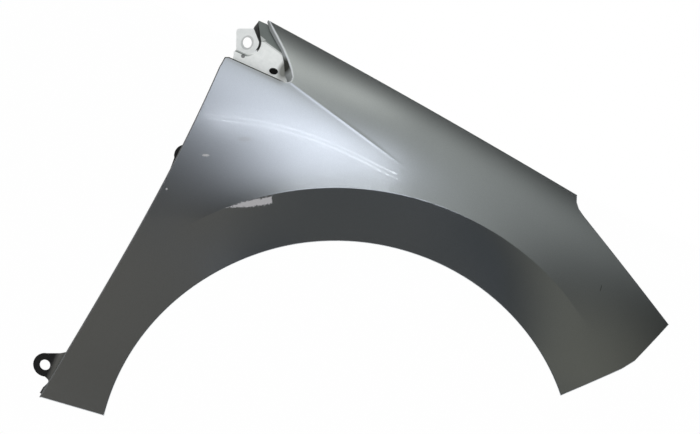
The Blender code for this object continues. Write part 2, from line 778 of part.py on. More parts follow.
def pillar_bracket_outline():
    """Under the ledge, up behind the rim, over the peak, round the pad and down the strip."""
    bottom = LEDGE_HEIGHT - BRACKET_DROP
    left = -PAD_HALF_WIDTH - STRIP_STEP
    slit = PAD_SLANT_SHARE * PAD_HALF_WIDTH - PAD_RADIUS
    strip = pad_place(left, slit - 2 * STRIP_STEP)
    outline = [Vector((strip.x + STRIP_STEP, bottom))]
    rim_shares = (0.05, 0.2, 0.32, 0.44, 0.56, 0.66, 0.76, 0.86)
    outline.append(Vector((RECESS_CENTRE.x + RIM_LAP, bottom)))
    outline += [rim_edge(share) + Vector((RIM_LAP / 3, -RIM_LAP / 3)) for share in rim_shares]
    peak = LEDGE_HEIGHT + PEAK_RISE
    outline.append(Vector((HOOD_REAR.x - RIM_LAP / 2, peak)))
    outline.append(Vector((PAD_CENTRE.x + PEAK_AHEAD, peak)))
    outline.append(pad_place(PAD_RADIUS - PAD_FRONT_SHARE * PAD_TOP, PAD_TOP))
    corner_radius = PAD_HALF_WIDTH / 3
    corner = pad_place(corner_radius - PAD_HALF_WIDTH, PAD_TOP - corner_radius)
    top = PAD_TURN + radians(90)
    outline += arc(corner, corner_radius, top, top + radians(90), 5)
    outline.append(pad_place(-PAD_HALF_WIDTH, slit))
    outline.append(pad_place(left, slit - STRIP_STEP))
    outline.append(strip)
    return outline


def make_pillar_bracket():
    outline = pillar_bracket_outline()
    bolt_centre = pad_place(PAD_BOLT_AHEAD, -PAD_BOLT_DROP)
    bolt_slot = oval(bolt_centre, PAD_BOLT_WIDTH, PAD_BOLT_LENGTH, PAD_TURN, 24)
    plug_hole = oval(OVAL_CENTRE, OVAL_LENGTH, OVAL_WIDTH, OVAL_TURN, 20)
    left = PAD_CENTRE.x + PAD_RADIUS + 2 * PAD_WALL
    right = RECESS_CENTRE.x + RIM_LAP * 2
    folds = []
    for side in (-FLOOR_FOLD_BLEND, 0, FLOOR_FOLD_BLEND):
        second = LEDGE_HEIGHT + SECOND_FOLD_RISE + side
        folds.append([Vector((left, second)), Vector((right, second))])
        folds.append([Vector((x, upper_fold_height(x) + side)) for x in (left, right)])
    rear = PAD_HALF_WIDTH + STRIP_STEP
    for share in (0, 0.5, 1):
        line = []
        for rise in (2, PAD_TOP / PAD_RADIUS, 0.5):
            front = PAD_RADIUS * (1 - PAD_FRONT_SHARE * rise) + PAD_WALL * share * (1 + rise)
            line.append(pad_place(front, PAD_RADIUS * rise))
        radius = PAD_RADIUS + PAD_WALL * share
        line += arc(PAD_CENTRE, radius, PAD_TURN, PAD_TURN - radians(90), 12)
        line.append(pad_place(-rear, PAD_SLANT_SHARE * rear - radius))
        folds.append(line)
    for share in (1 / 3, 2 / 3, 1):
        ring = ring_of(DIMPLE_CENTRE, DIMPLE_RADIUS * share, 12)
        folds.append(ring + ring[:1])
    return make_plate("pillar_bracket", outline, [bolt_slot, plug_hole], folds,
                      pillar_bracket_face, SILVER_PAINT)


def make_oval_plug():
    """A rubber plug in the bracket's oval hole, with a lip that laps the sheet in front."""
    centre = on_surface(recess_floor, OVAL_CENTRE)
    axis = inboard_normal(recess_floor, centre)
    across = (Vector((1, 0, 0)) - axis * axis.x).normalized()
    upward = across.cross(axis)
    front = -PLUG_LIP - GAP
    profile = ((PLUG_LAP / 2, front), (PLUG_LAP, front / 2), (PLUG_LAP, -GAP),
               (-GAP, -GAP), (-GAP, BRACKET_SHEET + PLUG_LIP))
    mesh = bmesh.new()
    rings = []
    for grow, depth in profile:
        loop = oval(Vector((0, 0)), OVAL_LENGTH + 2 * grow, OVAL_WIDTH + 2 * grow, OVAL_TURN, 20)
        places = [centre + across * point.x + upward * point.y + axis * depth for point in loop]
        rings.append([mesh.verts.new(place) for place in places])
    for ring, following in zip(rings, rings[1:]):
        for step in range(len(ring)):
            after = (step + 1) % len(ring)
            mesh.faces.new((ring[step], ring[after], following[after], following[step]))
    mesh.faces.new(rings[0])
    mesh.faces.new(rings[-1])
    bmesh.ops.recalc_face_normals(mesh, faces=mesh.faces)
    make_object("oval_plug", mesh, BLACK_RUBBER)


LOWER_STRIP = 0.0045
LOWER_FILLET = 0.0050


def door_at(height):
    """The point of the door edge at one height."""
    low, high = 0, 1
    for _ in range(40):
        middle = (low + high) / 2
        if door_edge(middle).y > height:
            low = middle
        else:
            high = middle
    return door_edge(low)


def make_lower_bracket():
    """A ring on a short neck, with a strip that runs down behind the foot of the door edge."""
    top = RING_CENTRE.y + LOWER_TOP_RISE
    foot = DOOR_BOTTOM.y + 2 * RAW_EDGE
    inward = WELD_FOOT + BEND
    outline = [door_at(height) + Vector((inward, 0)) for height in (top, RING_CENTRE.y, foot)]
    outline.reverse()
    neck_top = door_at(top)
    outline.append(neck_top)
    neck_share = 0.35
    ring_top = RING_CENTRE + polar(RING_RADIUS, radians(100))
    outline.append(mix(neck_top, ring_top, neck_share) - Vector((0, RAW_EDGE)))
    outline += arc(RING_CENTRE, RING_RADIUS, radians(104), radians(292), 22)
    strip_top = door_at(RING_CENTRE.y - RING_RADIUS) - Vector((LOWER_STRIP / 2, 0))
    fillet = strip_top - Vector((LOWER_FILLET, LOWER_FILLET))
    outline += arc(fillet, LOWER_FILLET, radians(80), radians(0), 5)
    outline.append(door_at((fillet.y + foot) / 2) - Vector((LOWER_STRIP, 0)))
    outline.append(door_at(foot) - Vector((LOWER_STRIP, 0)))
    bolt = ring_of(RING_CENTRE, RING_BOLT_DIAMETER / 2, 24)
    return make_plate("lower_rear_bracket", outline, [bolt], [], LOWER_FACE, BLACK_PRIMER)


def make_ear_bracket():
    """A round ear behind the door edge, with a neck welded to the flange below it."""
    neck_share = 0.8
    width_share = 1.4
    foot = EAR_CENTRE.y - EAR_RADIUS - EAR_NECK * neck_share
    outer = door_at(foot).x + BEND + SHEET
    inner = outer + EAR_RADIUS * width_share
    outline = [Vector((outer, foot)), Vector((inner - RAW_EDGE, foot)), Vector((inner, foot + RAW_EDGE))]
    outline += arc(EAR_CENTRE, EAR_RADIUS, radians(-25), radians(215), 26)
    bolt = ring_of(EAR_CENTRE, EAR_BOLT_DIAMETER / 2, 20)
    return make_plate("rear_ear_bracket", outline, [bolt], [], EAR_FACE, BLACK_PRIMER)


make_panel()
make_pillar_bracket()
make_oval_plug()
make_lower_bracket()
make_ear_bracket()
BOLT_SEAT = pad_place((PAD_BOLT_WIDTH / 2 + PAD_RADIUS) / 2, 0)
WHEEL_CENTRE.location = (-BOLT_SEAT.x, -PAD_DEPTH - BRACKET_SHEET, -BOLT_SEAT.y)
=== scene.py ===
"""Front fender of a car, right-hand side, held up by its pillar bracket in a white studio.

Lengths are in metres. The origin is the bolt pad of the pillar bracket, +X is forward
along the car, +Z is up, and the painted face looks towards -Y.
"""

from math import atan2, cos, exp, hypot, pi, radians, sin, sqrt

import bmesh
import bpy
from mathutils import Matrix, Vector


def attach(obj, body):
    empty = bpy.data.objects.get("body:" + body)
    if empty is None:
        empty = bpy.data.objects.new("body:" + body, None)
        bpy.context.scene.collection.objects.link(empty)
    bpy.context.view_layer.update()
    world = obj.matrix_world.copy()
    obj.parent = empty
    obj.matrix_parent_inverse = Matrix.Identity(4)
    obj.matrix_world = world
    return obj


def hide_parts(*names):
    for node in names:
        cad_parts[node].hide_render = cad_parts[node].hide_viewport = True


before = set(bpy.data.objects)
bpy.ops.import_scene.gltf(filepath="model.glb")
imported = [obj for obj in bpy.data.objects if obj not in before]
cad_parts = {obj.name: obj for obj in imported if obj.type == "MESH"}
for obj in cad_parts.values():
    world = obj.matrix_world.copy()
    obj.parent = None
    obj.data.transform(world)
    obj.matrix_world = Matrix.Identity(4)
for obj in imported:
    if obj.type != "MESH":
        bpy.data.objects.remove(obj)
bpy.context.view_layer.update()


# Silver paint. Aluminium flakes in a grey base coat over primer, sprayed in one go with a
# clear lacquer on top: the flakes spread the highlight and the lacquer adds a sharp one.

FLAKE_WIDTH = 0.00033333
CLOUD_WIDTH = 0.1111
PEEL_WAVE = 0.00416667
PEEL_DEPTH = 0.0002


def linear(hex_colour):
    """The linear colour of an sRGB hex colour."""
    values = [int(hex_colour[place:place + 2], 16) / 255 for place in (1, 3, 5)]
    return tuple(v / 12.92 if v <= 0.04045 else ((v + 0.055) / 1.055) ** 2.4 for v in values) + (1,)


def node(tree, kind, settings=None, **links):
    """Adds a node. Each input is given a value, or another node's output, by its name or number."""
    made = tree.nodes.new("ShaderNode" + kind)
    for name, value in (settings or {}).items():
        setattr(made, name, value)
    for name, value in links.items():
        socket = made.inputs[int(name[1:]) if name[1:].isdigit() else name.replace("_", " ")]
        if isinstance(value, bpy.types.NodeSocket):
            tree.links.new(value, socket)
        else:
            socket.default_value = value
    return made


def empty_material(name):
    material = bpy.data.materials.new(name)
    material.use_nodes = True
    material.node_tree.nodes.clear()
    return material, material.node_tree


silver_paint, tree = empty_material("silver metallic paint under clear lacquer")
seen = node(tree, "TexCoord")
place = seen.outputs["Object"]
spot = node(tree, "SeparateXYZ", Vector=place)
faces = node(tree, "SeparateXYZ", Vector=seen.outputs["Normal"])

# Real flakes are some 0.03 mm wide, too fine to show, so they are drawn ten times as coarse.
# Each is a little lighter or darker, by the way it lies. Broad faint clouds come with them.
flakes = node(tree, "TexVoronoi", Vector=place, Scale=1 / FLAKE_WIDTH)
flake_tone = node(tree, "MapRange", _0=flakes.outputs["Color"], _1=0, _2=1, _3=0.90, _4=1.10)
cloud = node(tree, "TexNoise", Vector=place, Scale=1 / CLOUD_WIDTH, Detail=2)
cloud_tone = node(tree, "MapRange", _0=cloud.outputs["Fac"], _1=0.3, _2=0.7, _3=0.985, _4=1.015)
tone = node(tree, "Math", {"operation": "MULTIPLY"}, _0=flake_tone.outputs[0], _1=cloud_tone.outputs[0])
silver = node(tree, "VectorMath", {"operation": "SCALE"}, _0=linear("#c9cdd1")[:3], Scale=tone.outputs[0])

# Orange peel: the faint waves, some 4 mm long, that sprayed lacquer dries with.
peel = node(tree, "TexNoise", Vector=place, Scale=1 / PEEL_WAVE, Detail=1)
peel_bump = node(tree, "Bump", Height=peel.outputs["Fac"], Strength=0.04, Distance=PEEL_DEPTH)

# A fresh scuff above the arch: a ragged wedge that ground through lacquer and colour. It
# starts as a point and climbs forwards.
SCUFF_START = (0.0604, 0, -0.2341)
SCUFF_CLIMB = radians(33.8)
SCUFF_LENGTH = 0.0675
SCUFF_HALF_WIDTH = 0.0052
SCUFF_SPREAD_SHARE = 0.15
SCUFF_RISE = 0.0012
SCUFF_RAGGEDNESS = 0.0032
SCUFF_FADE = 0.0008
BITE_WIDTH = 0.00333333

local = node(tree, "Mapping", {"vector_type": "TEXTURE"}, Vector=place,
             Location=SCUFF_START, Rotation=(0, -SCUFF_CLIMB, 0))
along = node(tree, "SeparateXYZ", Vector=local.outputs[0])
ragged = node(tree, "TexNoise", Vector=place, Scale=1 / BITE_WIDTH, Detail=4, Roughness=0.7)
bites = node(tree, "MapRange", _0=ragged.outputs["Fac"], _1=0.25, _2=0.75,
             _3=-SCUFF_RAGGEDNESS, _4=SCUFF_RAGGEDNESS)
grown = node(tree, "Math", {"operation": "MULTIPLY"}, _0=along.outputs[0], _1=SCUFF_SPREAD_SHARE)
half_width = node(tree, "Math", {"operation": "MINIMUM"}, _0=grown.outputs[0], _1=SCUFF_HALF_WIDTH)
from_middle = node(tree, "Math", {"operation": "SUBTRACT"}, _0=along.outputs[2], _1=SCUFF_RISE)
off_middle = node(tree, "Math", {"operation": "ABSOLUTE"}, _0=from_middle.outputs[0])
to_side = node(tree, "Math", {"operation": "SUBTRACT"}, _0=half_width.outputs[0], _1=off_middle.outputs[0])
to_end = node(tree, "Math", {"operation": "SUBTRACT"}, _0=SCUFF_LENGTH, _1=along.outputs[0])
within = node(tree, "Math", {"operation": "MINIMUM"}, _0=to_side.outputs[0], _1=to_end.outputs[0])
rough_within = node(tree, "Math", {"operation": "ADD"}, _0=within.outputs[0], _1=bites.outputs[0])
scuffed = node(tree, "MapRange", _0=rough_within.outputs[0], _1=0, _2=SCUFF_FADE, _3=0, _4=1)

# Two pale chips and a faint rubbed patch, each given as its centre, half its length, half its
# height and how much it shows. They and the scuff are on the outer face only.
MARK_CLIMB = radians(24)
MARK_DEPTH = 0.02
broken = node(tree, "Math", {"operation": "MULTIPLY_ADD"}, _0=ragged.outputs["Fac"], _1=0.9, _2=-0.45)
marks = scuffed.outputs[0]
for centre, half_length, half_height, strength in (
    ((0.0024, -0.0475, -0.1767), 0.0052, 0.0020, 0.75),
    ((-0.0294, -0.0479, -0.2443), 0.0014, 0.0014, 1.0),
    ((0.0447, -0.0458, -0.1325), 0.0110, 0.0035, 0.18),
):
    local = node(tree, "Mapping", {"vector_type": "TEXTURE"}, Vector=place, Location=centre,
                 Rotation=(0, -MARK_CLIMB, 0), Scale=(half_length, MARK_DEPTH, half_height))
    distance = node(tree, "VectorMath", {"operation": "LENGTH"}, _0=local.outputs[0])
    torn = node(tree, "Math", {"operation": "ADD"}, _0=distance.outputs["Value"], _1=broken.outputs[0])
    chip = node(tree, "MapRange", _0=torn.outputs[0], _1=1.1, _2=0.7, _3=0, _4=strength)
    marks = node(tree, "Math", {"operation": "MAXIMUM"}, _0=marks, _1=chip.outputs[0]).outputs[0]
outer = node(tree, "MapRange", _0=faces.outputs[1], _1=-0.2, _2=-0.3, _3=0, _4=1)
marks = node(tree, "Math", {"operation": "MULTIPLY"}, _0=marks, _1=outer.outputs[0]).outputs[0]
worn = node(tree, "Mix", {"data_type": "RGBA"}, _0=marks, _6=silver.outputs[0], _7=linear("#adacae"))

# A thin dark scratch near the front, nearly upright.
SCRATCH_CENTRE = (0.6137, 0.0028, -0.1241)
SCRATCH_RADII = (0.0008, 0.03, 0.0062)
SCRATCH_LEAN = radians(10)
local = node(tree, "Mapping", {"vector_type": "TEXTURE"}, Vector=place,
             Location=SCRATCH_CENTRE, Rotation=(0, -SCRATCH_LEAN, 0), Scale=SCRATCH_RADII)
distance = node(tree, "VectorMath", {"operation": "LENGTH"}, _0=local.outputs[0])
scratch = node(tree, "MapRange", _0=distance.outputs["Value"], _1=1, _2=0.6, _3=0, _4=0.6)
scratched = node(tree, "Mix", {"data_type": "RGBA"}, _0=scratch.outputs[0],
                 _6=worn.outputs[2], _7=linear("#3a3b3c"))

# The recess. Its wall, which leans to the rear, has thin dull paint, and its steepest part is
# painted a darker grey as shade. Painted shade lies as a dark line along its lower lip, which
# faces up, and dirt with painted shade as a blotch at the wall's foot. Each pair of numbers
# says where such a thing starts and where it is full.
RECESS_HEIGHTS = (-0.045, -0.040)
RECESS_AHEAD = (-0.005, 0.005)
LIP_SHADE_TOP_HEIGHTS = (-0.028, -0.031)
LIP_SHADE_FRONT_AHEAD = (0.066, 0.056)
BLOTCH_CENTRE = (0.0535, -0.004, -0.0145)
BLOTCH_RADII = (0.013, 0.05, 0.015)

lip = node(tree, "MapRange", _0=faces.outputs[2], _1=0.30, _2=0.45, _3=0, _4=1)
above = node(tree, "MapRange", _0=spot.outputs[2], _1=RECESS_HEIGHTS[0], _2=RECESS_HEIGHTS[1], _3=0, _4=1)
below = node(tree, "MapRange", _0=spot.outputs[2], _1=LIP_SHADE_TOP_HEIGHTS[0], _2=LIP_SHADE_TOP_HEIGHTS[1],
             _3=0, _4=1)
behind = node(tree, "MapRange", _0=spot.outputs[0], _1=LIP_SHADE_FRONT_AHEAD[0], _2=LIP_SHADE_FRONT_AHEAD[1],
              _3=0, _4=1)
strip = node(tree, "Math", {"operation": "MULTIPLY"}, _0=above.outputs[0], _1=below.outputs[0])
strip = node(tree, "Math", {"operation": "MULTIPLY"}, _0=strip.outputs[0], _1=behind.outputs[0])
# A dark line of painted shade along the lower lip, which faces up.
line = node(tree, "Math", {"operation": "MULTIPLY"}, _0=strip.outputs[0], _1=lip.outputs[0])
ahead = node(tree, "MapRange", _0=spot.outputs[0], _1=RECESS_AHEAD[0], _2=RECESS_AHEAD[1], _3=0, _4=1)
recess = node(tree, "Math", {"operation": "MULTIPLY"}, _0=ahead.outputs[0], _1=above.outputs[0])
leaning = node(tree, "MapRange", _0=faces.outputs[0], _1=-0.08, _2=-0.25, _3=0, _4=1)
rim = node(tree, "Math", {"operation": "MULTIPLY"}, _0=leaning.outputs[0], _1=recess.outputs[0])
steep = node(tree, "MapRange", _0=faces.outputs[0], _1=-0.45, _2=-0.58, _3=0, _4=1)
wall = node(tree, "Math", {"operation": "MULTIPLY"}, _0=steep.outputs[0], _1=recess.outputs[0])
# The steepest part of the wall is painted a darker grey: painted shade.
wall_shaded = node(tree, "Mix", {"data_type": "RGBA"}, _0=wall.outputs[0],
            _6=scratched.outputs[2], _7=linear("#8e9292"))
local = node(tree, "Mapping", {"vector_type": "TEXTURE"}, Vector=place,
             Location=BLOTCH_CENTRE, Scale=BLOTCH_RADII)
distance = node(tree, "VectorMath", {"operation": "LENGTH"}, _0=local.outputs[0])
blotch = node(tree, "MapRange", _0=distance.outputs["Value"], _1=1.0, _2=0.5, _3=0, _4=1)
# Dirt with painted shade as a blotch at the wall's foot.
wall_foot = node(tree, "Math", {"operation": "MULTIPLY"}, _0=blotch.outputs[0], _1=wall.outputs[0])
recess_dirt_and_shade = node(tree, "Math", {"operation": "MAXIMUM"}, _0=wall_foot.outputs[0], _1=line.outputs[0])

# The rounded edge along the door, painted dark as shade where it turns to the rear.
DOOR_EDGE_AHEAD = (-0.015, -0.025)
rounded = node(tree, "MapRange", _0=faces.outputs[0], _1=-0.12, _2=-0.30, _3=0, _4=0.8)
door = node(tree, "MapRange", _0=spot.outputs[0], _1=DOOR_EDGE_AHEAD[0], _2=DOOR_EDGE_AHEAD[1], _3=0, _4=1)
edge_shade = node(tree, "Math", {"operation": "MULTIPLY"}, _0=rounded.outputs[0], _1=door.outputs[0])
dirt_and_shade = node(tree, "Math", {"operation": "MAXIMUM"}, _0=recess_dirt_and_shade.outputs[0], _1=edge_shade.outputs[0])
# One dark colour for the dirt and painted shade in the recess and the painted shade on the door edge.
dirty_and_shaded = node(tree, "Mix", {"data_type": "RGBA"}, _0=dirt_and_shade.outputs[0],
             _6=wall_shaded.outputs[2], _7=linear("#2c2d27"))

# Wherever the paint is marked, dirty, thin or painted with shade, it loses its metal look and its lacquer.
dull = node(tree, "Math", {"operation": "MAXIMUM"}, _0=dirt_and_shade.outputs[0], _1=marks)
dull = node(tree, "Math", {"operation": "MAXIMUM"}, _0=dull.outputs[0], _1=rim.outputs[0])
metal = node(tree, "MapRange", _0=dull.outputs[0], _1=0, _2=1, _3=1.0, _4=0.0)
roughness = node(tree, "MapRange", _0=dull.outputs[0], _1=0, _2=1, _3=0.31, _4=0.85)
lacquer = node(tree, "MapRange", _0=dull.outputs[0], _1=0, _2=0.6, _3=1.0, _4=0.0)
paint = node(tree, "BsdfPrincipled", Base_Color=dirty_and_shaded.outputs[2], Metallic=metal.outputs[0],
             Roughness=roughness.outputs[0], Coat_Weight=lacquer.outputs[0], Coat_Roughness=0.02,
             Coat_Normal=peel_bump.outputs[0])
node(tree, "OutputMaterial", Surface=paint.outputs[0])


# The panel. One steel pressing 0.9 mm thick, with its edges folded round and pierced. The
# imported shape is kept, and its skin is refined so that highlights run over it without facets.
# The skin's depth is a sum of a crown, a sweep in plan, a roll, a crease and a flare.

WHEEL_CENTRE = Vector((0.367809, -0.063045, -0.537783))
RECESS_SEAM = Vector((-0.29584, 0.5065))
HOOD_FRONT = Vector((0.1612, 0.5233))
HOOD_REAR = Vector((-0.3605, 0.5731))
HOOD_BOW = 0.0033
BELT_HEIGHT = 0.250
UPPER_CROWN_RADIUS = 1.0
LOWER_CROWN_RADIUS = 2.0
SWEEP_START_BEHIND = 0.050
FRONT_SWEEP_RADIUS = 0.90
REAR_SWEEP_RADIUS = 4.0
HOOD_ROLL_DEPTH = 0.045
HOOD_ROLL_REACH = 0.035
CREASE_SLOPE_SHARE = 0.2223
CREASE_FOLD_SHARE = 0.18
CREASE_LENGTH = 0.200
CREASE_BLEND = 0.004
BEAD_HEIGHT = 0.0006
BEAD_WIDTH = 0.0020
ARCH_RADIUS = 0.3555
FLARE_WIDTH = 0.0775
RIDGE_RADIUS = ARCH_RADIUS + FLARE_WIDTH
PRESSED_RIDGE_BLEND = 0.003
FINE_RIDGE_BLEND = 0.0004
FLARE_STAND = 0.012
FLARE_REACH = 0.110
BAND_TUCK_SHARE = 0.30
FLARE_FRONT_START = radians(50)
FLARE_FRONT_FULL = radians(90)
FLARE_REAR_FULL = radians(120)
FLARE_REAR_END = radians(148)


def soft_ramp(value, blend):
    """Nothing below zero and the value above it, with a smooth bend of size blend between."""
    return (value + sqrt(value * value + blend * blend)) / 2


def smooth(share):
    """From 0 to 1 with level ends."""
    held = min(1, max(0, share))
    return held * held * (3 - 2 * held)


def hood_height(ahead):
    """Height of the edge beside the hood."""
    share = (ahead - HOOD_REAR.x) / (HOOD_FRONT.x - HOOD_REAR.x)
    return HOOD_REAR.y * (1 - share) + HOOD_FRONT.y * share + HOOD_BOW * 4 * share * (1 - share)


def skin_depth(ahead, height, bead, ridge_blend):
    """How far inboard the skin lies, with a bead this high on the crease and a ridge this round."""
    rise = height * HOOD_FRONT.y / hood_height(ahead) - BELT_HEIGHT
    crown = rise * rise / 2 / (UPPER_CROWN_RADIUS if rise > 0 else LOWER_CROWN_RADIUS)
    run = ahead + SWEEP_START_BEHIND
    sweep = run * run / 2 / (FRONT_SWEEP_RADIUS if run > 0 else REAR_SWEEP_RADIUS)
    roll = HOOD_ROLL_DEPTH * exp((height - hood_height(ahead)) / HOOD_ROLL_REACH)
    crease = RECESS_SEAM.y - CREASE_SLOPE_SHARE * (ahead - RECESS_SEAM.x)
    fade = 1 - smooth((ahead - RECESS_SEAM.x) / CREASE_LENGTH)
    fold = CREASE_FOLD_SHARE * soft_ramp(height - crease, CREASE_BLEND) * fade
    raised = bead * exp(-((height - crease) / BEAD_WIDTH) ** 2) * sqrt(fade)
    beyond = hypot(ahead, height) - RIDGE_RADIUS
    reached = max(0, 1 - soft_ramp(beyond, ridge_blend) / FLARE_REACH)
    flare = FLARE_STAND * reached ** 3 - BAND_TUCK_SHARE * soft_ramp(-beyond, ridge_blend)
    angle = atan2(height, ahead) % (2 * pi)
    front = smooth((angle - FLARE_FRONT_START) / (FLARE_FRONT_FULL - FLARE_FRONT_START))
    rear = smooth((FLARE_REAR_END - angle) / (FLARE_REAR_END - FLARE_REAR_FULL))
    return crown + sweep + roll + fold - raised - flare * front * rear


def fine_depth(local):
    """Depth of the refined skin, with the sharp bead and ridge."""
    return skin_depth(local.x, local.z, BEAD_HEIGHT, FINE_RIDGE_BLEND)


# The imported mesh's points on the skin are found by their depth, its skin faces are cut into
# quarters twice over, and the new points are set on the true surface.
SAME_POINT = 1e-6
ON_SKIN = 2e-5
TIMES_CUT = 2
SHARP_FOLD = radians(50)
mesh = bmesh.new()
mesh.from_mesh(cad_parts["fender_panel"].data)
mesh.transform(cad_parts["fender_panel"].matrix_world)
bmesh.ops.remove_doubles(mesh, verts=mesh.verts, dist=SAME_POINT)
on_skin = mesh.verts.layers.int.new("on_skin")
for corner in mesh.verts:
    local = corner.co - WHEEL_CENTRE
    packed_depth = skin_depth(local.x, local.z, 0, PRESSED_RIDGE_BLEND)
    corner[on_skin] = abs(local.y - packed_depth) < ON_SKIN
for cut in range(TIMES_CUT):
    skin_faces = {face for face in mesh.faces if all(corner[on_skin] for corner in face.verts)}
    inner_edges = [edge for edge in mesh.edges if skin_faces.issuperset(edge.link_faces)]
    bmesh.ops.subdivide_edges(mesh, edges=inner_edges, cuts=1, use_grid_fill=True)
    for corner in mesh.verts:
        if corner[on_skin]:
            corner.co.y = fine_depth(corner.co - WHEEL_CENTRE) + WHEEL_CENTRE.y
bmesh.ops.triangulate(mesh, faces=mesh.faces)
data = bpy.data.meshes.new("panel skin")
mesh.to_mesh(data)
skin_flags = [bool(corner[on_skin]) for corner in mesh.verts]
mesh.free()
panel = bpy.data.objects.new("painted_panel", data)
bpy.context.scene.collection.objects.link(panel)
data.materials.append(silver_paint)
data.shade_smooth()
data.set_sharp_from_angle(angle=SHARP_FOLD)

# Each corner on the skin gets the normal of the true surface. Next to the flare's ridge it is
# read a little way into the face, so that the ridge stays crisp, and at a fold it is left.
NORMAL_STEP = 0.0002
NEAR_RIDGE = 0.001
INTO_FACE_SHARE = 0.4
WIDEST_TURN = radians(60)
normals = []
for face in data.polygons:
    for loop_index in face.loop_indices:
        vertex = data.vertices[data.loops[loop_index].vertex_index]
        normal = data.corner_normals[loop_index].vector
        if skin_flags[vertex.index]:
            local = vertex.co - WHEEL_CENTRE
            if abs(hypot(local.x, local.z) - RIDGE_RADIUS) < NEAR_RIDGE:
                local = vertex.co.lerp(face.center, INTO_FACE_SHARE) - WHEEL_CENTRE
            here = fine_depth(local)
            forward = (fine_depth(local + Vector((NORMAL_STEP, 0, 0))) - here) / NORMAL_STEP
            upward = (fine_depth(local + Vector((0, 0, NORMAL_STEP))) - here) / NORMAL_STEP
            true_normal = Vector((forward, -1, upward)).normalized()
            if true_normal.dot(normal) > cos(WIDEST_TURN):
                normal = true_normal
        normals.append(normal)
data.normals_split_custom_set(normals)
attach(panel, "root")
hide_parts("fender_panel")


# The pillar bracket. Folded steel plate, welded behind the recess and sprayed with the panel,
# but out of reach of most of the lacquer, so it is paler and flatter than the skin.

MOTTLE_WIDTH = 0.00555556
thin_silver, tree = empty_material("thin silver spray on a bracket")
seen = node(tree, "TexCoord")
place = seen.outputs["Object"]
mottle = node(tree, "TexNoise", Vector=place, Scale=1 / MOTTLE_WIDTH, Detail=3)
tone = node(tree, "Mix", {"data_type": "RGBA"}, _0=mottle.outputs["Fac"],
            _6=linear("#dfe3e2"), _7=linear("#f5f7f6"))

# What leans back is painted a darker grey as shade, and the wall beside the pad is painted
# nearly black as shade.
faces = node(tree, "SeparateXYZ", Vector=seen.outputs["Normal"])
leaning = node(tree, "MapRange", _0=faces.outputs[1], _1=-0.88, _2=-0.60, _3=0, _4=1)
walled = node(tree, "MapRange", _0=faces.outputs[0], _1=0.35, _2=0.55, _3=0, _4=1)
# Painted shade: the faces that lean back turn a darker grey.
mist_and_shade = node(tree, "Mix", {"data_type": "RGBA"}, _0=leaning.outputs[0],
              _6=tone.outputs[2], _7=linear("#707775"))
# Painted shade: the wall beside the pad turns nearly black.
wall_black_shade = node(tree, "Mix", {"data_type": "RGBA"}, _0=walled.outputs[0],
            _6=mist_and_shade.outputs[2], _7=linear("#0c0d0e"))

# Painted shade in the bevel round the bolt slot and in the dimple below the pad, and dirt with
# painted shade where the floor ends. Each spot has a centre, three radii, and the shares of them
# where it starts and where it is full.
shade = wall_black_shade.outputs[2]
for centre, radii, start_share, full_share, strength, colour in (
    ((-0.0098, 0, -0.0057), (0.0065, 1, 0.00775), 1.45, 1.30, 0.45, "#8d9090"),
    ((-0.0074, -0.0052, -0.0259), (0.0031, 0.02, 0.0031), 1.1, 0.8, 0.8, "#3c3e40"),
    ((0.0560, -0.0049, -0.0200), (0.0095, 0.05, 0.0150), 1.2, 0.6, 0.8, "#55564c"),
):
    local = node(tree, "Mapping", {"vector_type": "TEXTURE"}, Vector=place, Location=centre, Scale=radii)
    distance = node(tree, "VectorMath", {"operation": "LENGTH"}, _0=local.outputs[0])
    cover = node(tree, "MapRange", _0=distance.outputs["Value"], _1=start_share, _2=full_share,
                 _3=0, _4=strength)
    shade = node(tree, "Mix", {"data_type": "RGBA"}, _0=cover.outputs[0],
                 _6=shade, _7=linear(colour)).outputs[2]
spray = node(tree, "BsdfPrincipled", Base_Color=shade, Metallic=0.1, Roughness=0.5)
node(tree, "OutputMaterial", Surface=spray.outputs[0])
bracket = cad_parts["pillar_bracket"]
bracket.data.materials.clear()
bracket.data.materials.append(thin_silver)


# The two rear brackets. Pressed steel, welded behind the door edge, with a tab each for a bolt
# into the pillar. They are dipped in black primer, which dries even and matt, with a little dust.

DUST_WIDTH = 0.00384615
black_primer, tree = empty_material("black dip primer")
place = node(tree, "TexCoord").outputs["Object"]
dust = node(tree, "TexNoise", Vector=place, Scale=1 / DUST_WIDTH, Detail=3)
dusty = node(tree, "Mix", {"data_type": "RGBA"}, _0=dust.outputs["Fac"],
             _6=linear("#0d0d0e"), _7=linear("#1b1b1c"))

# Silver overspray on the foot of the lower one, which lay beside the panel when it was sprayed.
OVERSPRAY_AHEAD = (-0.084, -0.077)
OVERSPRAY_HEIGHTS = (-0.45, -0.50)
spot = node(tree, "SeparateXYZ", Vector=place)
beside = node(tree, "MapRange", _0=spot.outputs[0], _1=OVERSPRAY_AHEAD[0], _2=OVERSPRAY_AHEAD[1],
              _3=0, _4=1)
low = node(tree, "MapRange", _0=spot.outputs[2], _1=OVERSPRAY_HEIGHTS[0], _2=OVERSPRAY_HEIGHTS[1],
           _3=0, _4=1)
mist_and_shade = node(tree, "Math", {"operation": "MULTIPLY"}, _0=beside.outputs[0], _1=low.outputs[0])
colour = node(tree, "Mix", {"data_type": "RGBA"}, _0=mist_and_shade.outputs[0],
              _6=dusty.outputs[2], _7=linear("#5c5c58"))
primer = node(tree, "BsdfPrincipled", Base_Color=colour.outputs[2], Roughness=0.6)
node(tree, "OutputMaterial", Surface=primer.outputs[0])
for name in ("lower_rear_bracket", "rear_ear_bracket"):
    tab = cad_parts[name]
    tab.data.materials.clear()
    tab.data.materials.append(black_primer)


# The plug. A moulded oval of black rubber, pressed into the oval hole of the bracket's floor.
# Its moulded skin is dull and slightly grained, and hardly mirrors anything.

